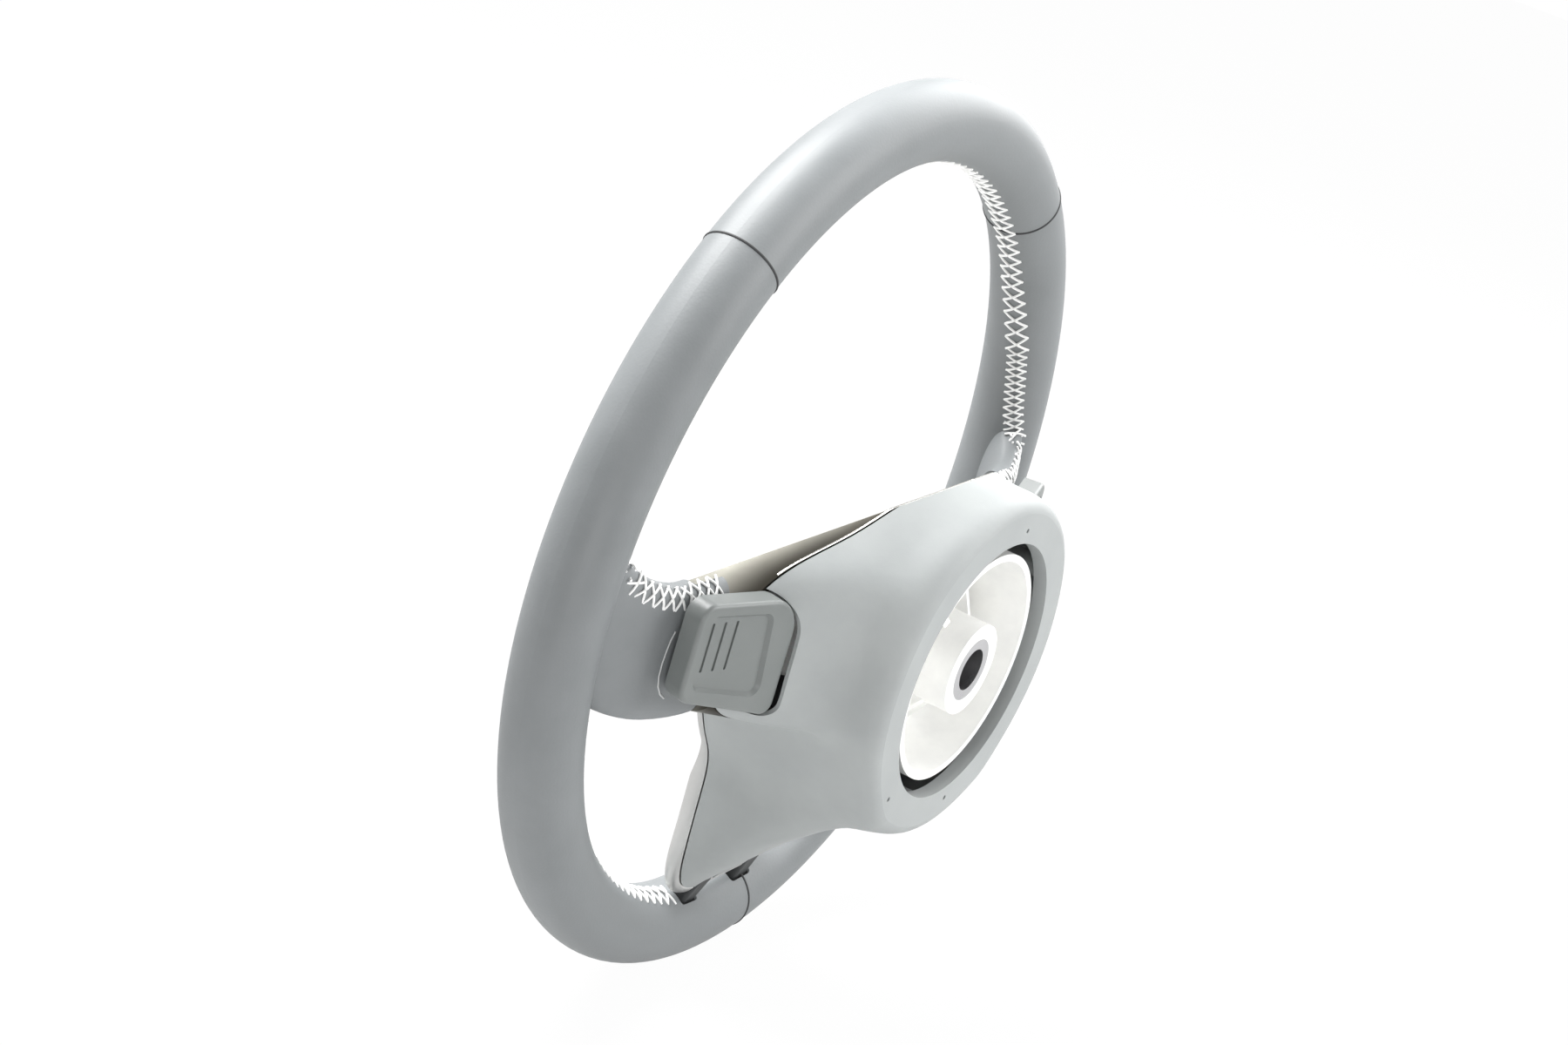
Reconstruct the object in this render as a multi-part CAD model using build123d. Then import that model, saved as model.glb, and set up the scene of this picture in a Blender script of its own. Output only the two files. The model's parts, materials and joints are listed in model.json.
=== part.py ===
from build123d import *
from math import copysign, cos, hypot, pi, radians, sin
import os

os.makedirs("parts", exist_ok=True)

# A three-spoke car steering wheel with shift paddles, in millimetres.
# The origin is the middle of the hub's column bore, on the steering axis.
# +X is the driver's right, +Y runs back to the column and +Z points to twelve o'clock.
# A depth is a distance behind the plane of the rim's centre line.

# Rim: a foam grip moulded on a steel ring, under three sections of leather
RIM_RADIUS = 172.0
GRIP_RADIUS = 15.9
CORE_RADIUS = 5.5
LEATHER = 1.4
RIM_RISE = 22.5
HUB_DEPTH = 70.0
SIDE_SEAM_ANGLE = 42.3
FOOT_SEAM_ANGLE = 187.8
SEAM_GAP = 0.8

# Padded spoke roots, where the grip runs into the side spokes
ROOT_X = 112.0
ROOT_TOP = 36.0
ROOT_DIP = 2.0
ROOT_FLOOR = 20.0
ROOT_FRONT = 14.5
ROOT_BACK = 33.0
ROOT_BACK_POWER = 1.5
ROOT_END = 13.5
ROOT_TOP_FLARE = 16.0
ROOT_FLOOR_FLARE = -10.0
ROOT_FLARE_POWER = 4.0
ROOT_SINK = 7.0
ROOT_SQUARENESS = 3.4
ROOT_POINTS = 24
ROOT_STAGES = (0.0, 0.35, 0.65, 0.83, 1.0)

# Hub body: the outer form shared by the rear cover and the two trims
RING_DEPTH = 88.5
RING_RADIUS = 70.5
RING_ROUND = 4.0
FULL_DEPTH = 8.0
FACE_DEPTH = 5.0
FACE_ROUND = 4.0
FACE_DRAW = 2.0
FACE_START = 14.0
ROUND_SHARES = (0.0, 0.4, 1.0)
BARREL_SWELL = 5.0
ARM_REACH = 126.0
ARM_ROOF = 75.5
ARM_ROOF_SLOPE = 0.292
ARM_FLOOR = 21.5
FOOT_REACH = 131.5
FOOT_HALF_WIDTH = 46.0
ARM_FLARE_POWER = 1.4
ROOF_FLARE_POWER = 0.8
FOOT_FLARE_POWER = 1.3
FLARE_START = 0.8
RIDGE_SOFTNESS = 0.25
CORNER_POWER = 8
BLEND_POWER = 14
OUTLINE_POINTS = 60
BODY_STAGES = 6
WALL = 2.5

# Front of the hub body, seen from the side: a slanted brow, a flat face and a proud foot
BROW_RISE = 17.0
BROW_SLOPE = 0.85
BROW_ROUND = 12.0
SPOKE_FACE = 10.0
SPOKE_FACE_END = 54.0
FOOT_FACE_START = 74.0
FRONT_WALL = 3.75

# Parting of the rear cover from the trims
PART_PEAK = 64.8
PART_SLOPE = 0.246
FOOT_PART = 13.0
PART_GAP = 0.6
SPLIT_DROP = 4.0

# Collar opening and the cover's screw bosses
OPENING_RADIUS = 54.0
LIP_LENGTH = 6.0
PIP_RADIUS = 1.0
PIP_DEPTH = 2.0
PIP_PLACES = ((-8.5, 58.7), (44.6, -44.9), (-11.0, -58.6))
BOSS_CIRCLE = 62.0
BOSS_RADIUS = 4.5
BOSS_ANGLES = (30.0, 150.0, 270.0)
SCREW_RADIUS = 1.7
SCREW_HEAD_RADIUS = 3.6
SCREW_HEAD = 2.4
SCREW_REACH = 8.0

# Cast armature and its column sleeve
BORE_RADIUS = 8.7
SLEEVE_RADIUS = 13.0
HUB_LENGTH = 34.0
HUB_RADIUS = 19.0
PLATE_RADIUS = 48.0
PLATE = 6.0
CUP_WALL = 3.0
CUP_BACK = 85.0
LUG_RADIUS = 7.0
RIB = 4.0
RIB_RISE = 18.0
RIB_COUNT = 6
ARM_THICKNESS = 8.0
ARM_HUB_HEIGHT = 36.0
ARM_RIM_HEIGHT = 20.0
ARM_SEAT_X = 90.0
ARM_BEND_X = 140.0
ARM_BEND_DEPTH = 19.0
LEG_WIDTH = 12.0
LEG_HUB_X = 16.0
LEG_DROP_RISE = -64.0
LEG_DROP_DEPTH = 50.0
LEG_BEND_RISE = -88.0
LEG_BEND_DEPTH = 24.0
LEG_RIM_X = 22.0
LEG_ROOM = 1.0
SEAT_DEPTH = 25.5

# Shift paddles, drawn flat with their length outwards and then slanted
PADDLE_INNER_X = 92.0
PADDLE_INNER_DEPTH = 52.0
PADDLE_LENGTH = 52.0
PADDLE_SLANT = 15.1
PADDLE_THICKNESS = 9.0
PADDLE_TOP = 35.2
PADDLE_TOP_DROP = 1.5
PADDLE_FLOOR_INNER = 15.0
PADDLE_FLOOR_OUTER = -4.0
PADDLE_OUTER_CORNER = 6.5
PADDLE_TOP_CORNER = 15.0
PADDLE_FLOOR_CORNER = 5.0
PADDLE_EDGE = 1.6
PADDLE_GAP = 0.9
PADDLE_ROOM = 45.0
DISH_DEPTH = 1.6
DISH_DRAFT = 40.0
DISH_INNER_MARGIN = 14.0
DISH_MARGIN = 4.5
GROOVE_COUNT = 3
GROOVE_PITCH = 6.2
GROOVE_WIDTH = 1.3
GROOVE_LENGTH = 20.0
GROOVE_DEPTH = 0.8
GROOVE_PLACE = 37.3
GROOVE_RISE = 17.0

# Paddle hinge and switch
PIVOT_X = 100.0
PIVOT_DEPTH = 35.0
PIN_RADIUS = 1.5
PIN_FIT = 0.05
KNUCKLE_RADIUS = 3.4
KNUCKLE = 4.6
HINGE_RISE = 9.0
HINGE_HALF = 17.0
HINGE_HEADROOM = 2.0
HINGE_FOOTROOM = 4.5
EAR = 4.0
SIDE_PLAY = 0.4
BRACKET_HALF = 6.0
BRACKET_PLATE = 3.0
SWITCH_LENGTH = 6.0
SWITCH_HEIGHT = 10.0
SWITCH_TOP = 36.0

# Horn pad and what it carries
PAD_WIDTH = 100.0
PAD_HEIGHT = 100.0
PAD_RISE = -8.0
PAD_CORNER = 36.0
PAD_GAP = 1.0
PAD_WALL = 3.0
PAD_EDGE = 2.0
PAD_APEX = 4.0
PAD_SKIRT = 40.0
DOME_RADIUS = 110.0
DOME_RISE = -30.0
DOME_STRETCH = 1.5
CARRIER_FRONT = 34.0
CARRIER = 3.0
POST_CIRCLE = 32.0
POST_RADIUS = 4.0
POST_ANGLES = (90.0, 210.0, 330.0)
POST_END = 62.0
BUSH_RADIUS = 7.0
BUSH_FLANGE_RADIUS = 9.5
BUSH_FLANGE = 4.0
INFLATOR_RADIUS = 26.0
INFLATOR_FLANGE = 6.0
INFLATOR_FLANGE_THICKNESS = 2.0
INFLATOR_FRONT = 26.0
INFLATOR_BACK = 44.0
CUSHION_GAP = 1.5
FIT = 0.3

# Switch panels with their keys
PANEL_X = 85.0
PANEL_RISE = 1.5
PANEL_WIDTH = 42.0
PANEL_HEIGHT = 35.0
PANEL_CORNER = 7.0
PANEL_FRONT = 9.5
KEY_GAP = 0.4
KEY_FACE = 7.5
KEY_BACK = 14.0
KEY_FLOOR = 15.7
KEY_CORNER = 2.0
KEY_EDGE = 0.8
KEY_COUNT = 3
KEY_SPACE = 2.0
KEY_MARGIN = 4.0
ROCKER_WIDTH = 10.0
ROCKER_PIVOT = 11.0
TRUNNION_RADIUS = 1.2
TRUNNION = 1.6
TRUNNION_FIT = 0.05

# Places that follow from the sizes above
FAR = 2 * RIM_RADIUS
SPOKE_END = ROOT_X - PART_GAP
PANEL_BACK = SEAT_DEPTH - ARM_THICKNESS
SPLIT = ARM_FLOOR + SPLIT_DROP
HUB_FRONT = HUB_DEPTH - HUB_LENGTH / 2
HUB_BACK = HUB_DEPTH + HUB_LENGTH / 2
PLATE_BACK = HUB_FRONT + PLATE
CARRIER_BACK = CARRIER_FRONT + CARRIER
BRACKET_TOP = SEAT_DEPTH + BRACKET_PLATE
HINGE_LOW = HINGE_RISE - HINGE_HALF
HINGE_HIGH = HINGE_RISE + HINGE_HALF
KEY_AREA_WIDTH = PANEL_WIDTH - 2 * KEY_MARGIN
KEY_AREA_HEIGHT = PANEL_HEIGHT - 2 * KEY_MARGIN
KEY_WIDTH = KEY_AREA_WIDTH - ROCKER_WIDTH - KEY_MARGIN
KEY_HEIGHT = (KEY_AREA_HEIGHT - (KEY_COUNT - 1) * KEY_SPACE) / KEY_COUNT
ROCKER_X = PANEL_X - (KEY_AREA_WIDTH - ROCKER_WIDTH) / 2
KEY_X = PANEL_X + (KEY_AREA_WIDTH - KEY_WIDTH) / 2


def y_at(depth):
    """Place a depth behind the rim's plane on the Y axis."""
    return depth - HUB_DEPTH


def facing(depth):
    """Plane at a depth that faces the driver, with X and Z as its own axes."""
    return Plane(origin=(0, y_at(depth), 0), x_dir=(1, 0, 0), z_dir=(0, -1, 0))


def prism(outline, front, back):
    """Solid between two depths with an outline drawn in the driver's view."""
    return extrude(facing(back) * outline, amount=back - front)


def block(x, depth, z):
    """Box from three (low, high) pairs."""
    box = Box(x[1] - x[0], depth[1] - depth[0], z[1] - z[0])
    return Pos((x[0] + x[1]) / 2, y_at((depth[0] + depth[1]) / 2), (z[0] + z[1]) / 2) * box


def upright(x, depth, radius, low, high):
    """Round bar along Z."""
    return Pos(x, y_at(depth), (low + high) / 2) * Cylinder(radius, high - low)


def on_circle(radius, angle):
    """Place in the driver's view at an angle from +X."""
    return Pos(radius * cos(radians(angle)), radius * sin(radians(angle)))


def mirrored(piece):
    """The same piece on the driver's left."""
    return mirror(piece, about=Plane.YZ)


def save(name, piece):
    export_step(piece, f"parts/{name}.step")


def save_pair(name, piece):
    """Write a piece of the driver's right and its mirror image."""
    save(f"right_{name}", piece)
    save(f"left_{name}", mirrored(piece))


# The rim and its leather


def torus(section_radius):
    """Ring about the rim's centre line, with its seam at twelve o'clock."""
    ring = Rot(90, 0, 0) * Rot(0, 0, 90) * Torus(RIM_RADIUS, section_radius)
    return Pos(0, y_at(0), RIM_RISE) * ring


def oval(middle, half_depth, half_height):
    """Squarish oval across a spoke root."""
    power = 2 / ROOT_SQUARENESS
    points = []
    for step in range(ROOT_POINTS):
        angle = 2 * pi * step / ROOT_POINTS
        across = copysign(abs(cos(angle)) ** power, cos(angle))
        up = copysign(abs(sin(angle)) ** power, sin(angle))
        points.append((half_depth * across, half_height * up))
    where = Plane(origin=middle, x_dir=(0, 1, 0), z_dir=(1, 0, 0))
    return where * make_face(Spline(points, periodic=True))


def root_section(stage, inset):
    """Section of a spoke root, from its spoke end (0) to inside the grip (1)."""
    x = ROOT_X + stage * (RIM_RADIUS - ROOT_SINK - ROOT_X)
    flare = stage ** ROOT_FLARE_POWER
    back = ROOT_BACK + (ROOT_END - ROOT_BACK) * stage ** ROOT_BACK_POWER
    front = ROOT_FRONT - (ROOT_FRONT + ROOT_END) * flare
    top = ROOT_TOP - ROOT_DIP * sin(stage * pi) + ROOT_TOP_FLARE * flare
    floor = ROOT_FLOOR + ROOT_FLOOR_FLARE * flare
    middle = (x, y_at((back + front) / 2), (top - floor) / 2)
    return oval(middle, (back - front) / 2 - inset, (top + floor) / 2 - inset)


def grip_form(inset):
    """Rim with its two spoke roots, drawn in by an even inset."""
    root = loft([root_section(stage, inset) for stage in ROOT_STAGES])
    return torus(GRIP_RADIUS - inset) + root + mirrored(root)


def rim_sector(start, end):
    """Wedge about the rim's centre between two angles clockwise from twelve o'clock."""
    middle = (start + end) / 2
    corners = [(0, 0)]
    for angle in (start, middle, end):
        corners.append((FAR * sin(radians(angle)), FAR * cos(radians(angle))))
    outline = Pos(0, RIM_RISE) * make_face(Polyline(*corners, close=True))
    return prism(outline, -FAR, FAR)


def seam_cut(angle):
    """Thin slot across the rim where two leather sections meet."""
    slot = Rectangle(SEAM_GAP, FAR, align=(Align.CENTER, Align.MIN))
    return prism(Pos(0, RIM_RISE) * Rot(0, 0, -angle) * slot, -FAR, FAR)


def leg_form(gap):
    """Bent leg from the hub plate down to the rim's core, grown by a gap."""
    section = RectangleRounded(LEG_WIDTH + 2 * gap, ARM_THICKNESS + 2 * gap, ARM_THICKNESS / 4)
    stations = (
        (LEG_HUB_X, HUB_FRONT + PLATE / 2, PLATE - PLATE_RADIUS),
        (LEG_HUB_X, LEG_DROP_DEPTH, LEG_DROP_RISE),
        (LEG_HUB_X, LEG_BEND_DEPTH, LEG_BEND_RISE),
        (LEG_RIM_X, 0, RIM_RISE - RIM_RADIUS),
    )
    return loft([Pos(x, y_at(depth), z) * section for x, depth, z in stations], ruled=True)


def behind_front(lap):
    """Room behind the hub's front profile, set back by a lap."""
    brow = BROW_RISE + BROW_SLOPE * SPOKE_FACE
    corners = (
        (SPOKE_FACE, brow),
        (SPOKE_FACE, -SPOKE_FACE_END),
        (FACE_DEPTH, -FOOT_FACE_START),
    )
    outline = Polyline(
        (FAR, brow + BROW_SLOPE * (FAR - SPOKE_FACE)),
        *corners,
        (FACE_DEPTH, -FAR),
        (FAR, -FAR),
        close=True,
    )
    face = make_face(outline)
    for corner in corners:
        face = fillet(face.vertices().sort_by_distance(corner)[0], BROW_ROUND)
    side = Plane(origin=(0, y_at(lap), 0), x_dir=(0, 1, 0), z_dir=(1, 0, 0))
    return extrude(side * face, amount=FAR, both=True)


def wing_room():
    """Room in both spoke roots for the trim that laps over their fronts."""
    ends = (SPOKE_END - ROOT_SINK, ARM_REACH + FIT)
    heights = (-SPLIT, ROOT_TOP + ROOT_TOP_FLARE)
    room = block(ends, (-FAR, FAR), heights) - behind_front(FRONT_WALL + FIT)
    return room + mirrored(room)


grip_room = wing_room()
grip_outer = grip_form(0) - grip_room
grip_inner = grip_form(LEATHER) - grip_room
rim_core = torus(CORE_RADIUS)

leg_passage = leg_form(LEG_ROOM)
leg_passages = leg_passage + mirrored(leg_passage)
leather = grip_outer - grip_inner - leg_passages
for seam in (SIDE_SEAM_ANGLE, -SIDE_SEAM_ANGLE, FOOT_SEAM_ANGLE):
    leather -= seam_cut(seam)
save("leather_top", leather & rim_sector(-SIDE_SEAM_ANGLE, SIDE_SEAM_ANGLE))
save("leather_right", leather & rim_sector(SIDE_SEAM_ANGLE, FOOT_SEAM_ANGLE))
save("leather_left", leather & rim_sector(FOOT_SEAM_ANGLE, 360 - SIDE_SEAM_ANGLE))
save("rim_core", rim_core)


# The cast armature


def arm_section(x, depth, height):
    where = Plane(origin=(x, y_at(depth), HINGE_RISE), x_dir=(0, 1, 0), z_dir=(1, 0, 0))
    return where * RectangleRounded(ARM_THICKNESS, height, ARM_THICKNESS / 4)


def armature_arm():
    """Cranked arm from the hub plate to the rim's core, flat where the paddle bracket sits."""
    seat = SEAT_DEPTH - ARM_THICKNESS / 2
    hub_end = arm_section(PLATE_RADIUS - PLATE, HUB_FRONT + PLATE / 2, ARM_HUB_HEIGHT)
    inner = arm_section(ARM_SEAT_X, seat, 2 * HINGE_HALF)
    outer = arm_section(SPOKE_END, seat, 2 * HINGE_HALF)
    bend = arm_section(ARM_BEND_X, ARM_BEND_DEPTH, ARM_RIM_HEIGHT)
    rim_end = arm_section(RIM_RADIUS, 0, ARM_RIM_HEIGHT)
    return loft([hub_end, inner, outer, bend, rim_end], ruled=True)


def rib(angle):
    """Triangular rib between the hub and its plate."""
    corners = Polyline(
        (SLEEVE_RADIUS + RIB, y_at(PLATE_BACK - PLATE / 2)),
        (PLATE_RADIUS - RIB, y_at(PLATE_BACK - PLATE / 2)),
        (PLATE_RADIUS - RIB, y_at(PLATE_BACK)),
        (SLEEVE_RADIUS + RIB, y_at(PLATE_BACK + RIB_RISE)),
        close=True,
    )
    return Rot(0, angle, 0) * extrude(make_face(corners), amount=RIB / 2, both=True)


def armature_form():
    cast = prism(Circle(HUB_RADIUS), HUB_FRONT, HUB_BACK)
    cast += prism(Circle(PLATE_RADIUS), HUB_FRONT, PLATE_BACK)
    cast += prism(Circle(PLATE_RADIUS) - Circle(PLATE_RADIUS - CUP_WALL), HUB_FRONT, CUP_BACK)
    for number in range(RIB_COUNT):
        cast += rib(number * 360 / RIB_COUNT)
    for angle in BOSS_ANGLES:
        spoke = Rectangle(BOSS_CIRCLE, 2 * LUG_RADIUS, align=(Align.MIN, Align.CENTER))
        lug = Rot(0, 0, angle) * spoke + on_circle(BOSS_CIRCLE, angle) * Circle(LUG_RADIUS)
        cast += prism(lug, HUB_FRONT, PLATE_BACK)
    arm = armature_arm()
    leg = leg_form(0)
    cast += [arm, mirrored(arm), leg, mirrored(leg)]
    cast -= prism(Circle(SLEEVE_RADIUS), HUB_FRONT, HUB_BACK)
    for angle in POST_ANGLES:
        cast -= prism(on_circle(POST_CIRCLE, angle) * Circle(BUSH_RADIUS), HUB_FRONT, PLATE_BACK)
    for angle in BOSS_ANGLES:
        cast -= prism(on_circle(BOSS_CIRCLE, angle) * Circle(SCREW_RADIUS), HUB_FRONT, PLATE_BACK)
    return cast - rim_core


armature = armature_form()
save("armature", armature)
save("rim_foam", grip_inner - rim_core - armature)
sleeve = prism(Circle(SLEEVE_RADIUS) - Circle(BORE_RADIUS), HUB_FRONT, HUB_BACK)
save("column_sleeve", sleeve)


# The hub body, parted into the rear cover and the two trims


def norm(values, power):
    return sum(value ** power for value in values) ** (1 / power)


def body_outline(depth, inset):
    """Smooth outline of the hub body: a barrel, a crossbar and a foot blended together."""
    stage = min(1.0, (RING_DEPTH - depth) / (RING_DEPTH - FULL_DEPTH))
    swell = sin(stage * pi / 2)
    start = FLARE_START * RING_RADIUS
    barrel = RING_RADIUS + BARREL_SWELL * swell - inset
    reach = start + (ARM_REACH - start) * swell ** ARM_FLARE_POWER - inset
    roof = start + (ARM_ROOF - start) * swell ** ROOF_FLARE_POWER - inset
    foot = start + (FOOT_REACH - start) * stage ** FOOT_FLARE_POWER - inset
    floor = ARM_FLOOR - inset
    side = FOOT_HALF_WIDTH - inset
    points = []
    for step in range(OUTLINE_POINTS):
        angle = 2 * pi * step / OUTLINE_POINTS
        across = abs(cos(angle))
        up = max(0.0, sin(angle))
        down = max(0.0, -sin(angle))
        tilt = max(0.0, sin(angle) + ARM_ROOF_SLOPE * hypot(across, RIDGE_SOFTNESS))
        crossbar = 1 / norm([across / reach, tilt / roof, down / floor], CORNER_POWER)
        leg = 1 / norm([across / side, up / side, down / foot], CORNER_POWER)
        radius = norm([barrel, crossbar, leg], BLEND_POWER)
        points.append((radius * cos(angle), radius * sin(angle)))
    return facing(depth) * make_face(Spline(points, periodic=True))


def body_form(inset):
    """Hub body from the collar to its rounded front face, drawn in by an inset."""
    back = RING_DEPTH - inset
    front = FACE_DEPTH + inset
    sections = []
    for share in ROUND_SHARES:
        drawn_in = inset + RING_ROUND * (1 - share) ** 2
        sections.append(body_outline(back - share * RING_ROUND, drawn_in))
    start = back - RING_ROUND
    step = (start - FACE_START) / BODY_STAGES
    for stage in range(1, BODY_STAGES + 1):
        sections.append(body_outline(start - stage * step, inset))
    for share in reversed(ROUND_SHARES):
        drawn_in = inset + FACE_DRAW * (1 - share) ** 2
        sections.append(body_outline(front + share * FACE_ROUND, drawn_in))
    return loft(sections)


def ahead_of_parting(gap):
    """Room ahead of the slanted parting, above the arms' floor."""
    low = PART_PEAK - PART_SLOPE * FAR
    corners = Polyline(
        (0, y_at(PART_PEAK - gap)),
        (FAR, y_at(low - gap)),
        (FAR, y_at(low - FAR)),
        (-FAR, y_at(low - FAR)),
        (-FAR, y_at(low - gap)),
        close=True,
    )
    return extrude(Pos(0, 0, gap - SPLIT) * make_face(corners), amount=FAR)


def ahead_of_foot(gap):
    """Room ahead of the foot's parting, below the arms' floor."""
    return block((-FAR, FAR), (-FAR, FOOT_PART - gap), (-FAR, -SPLIT))


def paddle_plane():
    """Plane of a paddle's back face, facing the driver, with its length as X and Z as Y."""
    slant = radians(PADDLE_SLANT)
    return Plane(
        origin=(PADDLE_INNER_X, y_at(PADDLE_INNER_DEPTH), 0),
        x_dir=(cos(slant), -sin(slant), 0),
        z_dir=(-sin(slant), -cos(slant), 0),
    )


def paddle_outline():
    """Paddle's back face: deep at its hinge end, with a large upper corner there."""
    upper = (0, PADDLE_TOP - PADDLE_TOP_DROP)
    lower = (0, -PADDLE_FLOOR_INNER)
    corners = Polyline(
        (PADDLE_LENGTH, PADDLE_TOP),
        upper,
        lower,
        (PADDLE_LENGTH, PADDLE_FLOOR_OUTER),
        close=True,
    )
    face = make_face(corners)
    face = fillet(face.vertices().group_by(Axis.X)[-1], PADDLE_OUTER_CORNER)
    face = fillet(face.vertices().sort_by_distance(lower)[0], PADDLE_FLOOR_CORNER)
    return fillet(face.vertices().sort_by_distance(upper)[0], PADDLE_TOP_CORNER)


def paddle_room():
    """Room through the rear cover for both paddles and their hinges."""
    room = extrude(paddle_plane() * offset(paddle_outline(), PADDLE_GAP), amount=PADDLE_ROOM, both=True)
    return room + mirrored(room)


def panel_outline(gap):
    """Switch panel's outline, drawn in by a gap."""
    face = RectangleRounded(PANEL_WIDTH - 2 * gap, PANEL_HEIGHT - 2 * gap, PANEL_CORNER - gap)
    return Pos(PANEL_X, PANEL_RISE) * face


def pad_prism(gap, front, back):
    """Solid between two depths with the horn pad's outline, grown by a gap."""
    face = RectangleRounded(PAD_WIDTH + 2 * gap, PAD_HEIGHT + 2 * gap, PAD_CORNER + gap)
    return prism(Pos(0, PAD_RISE) * face, front, back)


def rear_cover_form(shell):
    room = block((-SPOKE_END, SPOKE_END), (-FAR, FAR), (-FAR, FAR))
    cover = shell & (room - ahead_of_parting(0) - ahead_of_foot(0) - paddle_room())
    cover += prism(Circle(OPENING_RADIUS + WALL), RING_DEPTH - LIP_LENGTH, RING_DEPTH - WALL)
    for angle in BOSS_ANGLES:
        boss = on_circle(BOSS_CIRCLE, angle) * Circle(BOSS_RADIUS)
        cover += prism(boss, PLATE_BACK, RING_DEPTH - WALL)
    cover -= prism(Circle(OPENING_RADIUS), RING_DEPTH - LIP_LENGTH, RING_DEPTH)
    for angle in BOSS_ANGLES:
        pilot = on_circle(BOSS_CIRCLE, angle) * Circle(SCREW_RADIUS)
        cover -= prism(pilot, PLATE_BACK, PLATE_BACK + SCREW_REACH)
    for x, rise in PIP_PLACES:
        cover -= prism(Pos(x, rise) * Circle(PIP_RADIUS), RING_DEPTH - PIP_DEPTH, RING_DEPTH)
    return cover - leg_passages


def spoke_trim_form(shell):
    hinge_rise = (HINGE_LOW - HINGE_FOOTROOM, HINGE_HIGH + HINGE_HEADROOM)
    spoke_end = block((SPOKE_END, FAR), (-FAR, FAR), (-FAR, FAR)) & behind_front(FRONT_WALL)
    spoke_end += block((PIVOT_X, FAR), (SEAT_DEPTH, FAR), hinge_rise)
    trim = shell & (ahead_of_parting(PART_GAP) - spoke_end - mirrored(spoke_end))
    panel = prism(panel_outline(0), -FAR, PANEL_BACK)
    return trim - [panel, mirrored(panel)]


def foot_trim_form(shell):
    return (shell & ahead_of_foot(PART_GAP)) - leg_passages


body_outer = body_form(0) & behind_front(0)
body_hollow = body_form(WALL) & behind_front(FRONT_WALL)
body_shell = body_outer - body_hollow - pad_prism(PAD_GAP, -FAR, PAD_SKIRT)
save("rear_cover", rear_cover_form(body_shell))
save("spoke_trim", spoke_trim_form(body_shell))
save("foot_trim", foot_trim_form(body_shell))

screws = []
for angle in BOSS_ANGLES:
    place = on_circle(BOSS_CIRCLE, angle)
    head = prism(place * Circle(SCREW_HEAD_RADIUS), HUB_FRONT - SCREW_HEAD, HUB_FRONT)
    screws.append(head + prism(place * Circle(SCREW_RADIUS), HUB_FRONT, PLATE_BACK + SCREW_REACH))
save("cover_screws", Compound(screws))


# The shift paddles and their hinges


def knuckle_spans():
    """Heights of a paddle's two knuckles, each beside an ear of the bracket."""
    low = HINGE_LOW + EAR + SIDE_PLAY
    high = HINGE_HIGH - EAR - SIDE_PLAY
    return ((low, low + KNUCKLE), (high - KNUCKLE, high))


def dish_outline():
    """Finger dish in the paddle's back face."""
    corners = Polyline(
        (PADDLE_LENGTH - DISH_MARGIN, PADDLE_TOP - DISH_MARGIN),
        (DISH_INNER_MARGIN, PADDLE_TOP - PADDLE_TOP_DROP - DISH_MARGIN),
        (DISH_INNER_MARGIN - DISH_MARGIN, DISH_MARGIN - PADDLE_FLOOR_INNER + DISH_MARGIN),
        (PADDLE_LENGTH - DISH_MARGIN, PADDLE_FLOOR_OUTER + DISH_MARGIN),
        close=True,
    )
    face = make_face(corners)
    return fillet(face.vertices(), DISH_MARGIN)


def paddle_form():
    plate = extrude(paddle_outline(), amount=PADDLE_THICKNESS)
    plate = fillet(plate.faces().sort_by(Axis.Z)[0].edges(), PADDLE_EDGE)
    plate -= extrude(dish_outline(), amount=DISH_DEPTH, taper=DISH_DRAFT)
    for number in range(GROOVE_COUNT):
        place = GROOVE_PLACE + (number - (GROOVE_COUNT - 1) / 2) * GROOVE_PITCH
        slot = Pos(place, GROOVE_RISE) * Rot(0, 0, 90) * SlotOverall(GROOVE_LENGTH, GROOVE_WIDTH)
        plate -= extrude(slot, amount=DISH_DEPTH + GROOVE_DEPTH)
    paddle = paddle_plane().location * plate
    for low, high in knuckle_spans():
        web_x = (PIVOT_X - KNUCKLE_RADIUS, PIVOT_X + KNUCKLE_RADIUS)
        web_end = PADDLE_INNER_DEPTH - PADDLE_THICKNESS
        paddle += block(web_x, (PIVOT_DEPTH, web_end), (low, high))
        paddle += upright(PIVOT_X, PIVOT_DEPTH, KNUCKLE_RADIUS, low, high)
    return paddle - upright(PIVOT_X, PIVOT_DEPTH, PIN_RADIUS + PIN_FIT, HINGE_LOW, HINGE_HIGH)


def bracket_form():
    """Plate on the armature's arm with an ear at each end of the hinge."""
    plate_x = (PIVOT_X - BRACKET_HALF, SPOKE_END)
    bracket = block(plate_x, (SEAT_DEPTH, BRACKET_TOP), (HINGE_LOW, HINGE_HIGH))
    for low, high in ((HINGE_LOW, HINGE_LOW + EAR), (HINGE_HIGH - EAR, HINGE_HIGH)):
        ear_x = (PIVOT_X - KNUCKLE_RADIUS, PIVOT_X + KNUCKLE_RADIUS)
        bracket += block(ear_x, (SEAT_DEPTH, PIVOT_DEPTH), (low, high))
        bracket += upright(PIVOT_X, PIVOT_DEPTH, KNUCKLE_RADIUS, low, high)
    return bracket - upright(PIVOT_X, PIVOT_DEPTH, PIN_RADIUS, HINGE_LOW, HINGE_HIGH)


def switch_form():
    """Sealed switch under the paddle, just past the hinge."""
    x = (SPOKE_END - SWITCH_LENGTH, SPOKE_END)
    half = SWITCH_HEIGHT / 2
    return block(x, (BRACKET_TOP, SWITCH_TOP), (HINGE_RISE - half, HINGE_RISE + half))


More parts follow.
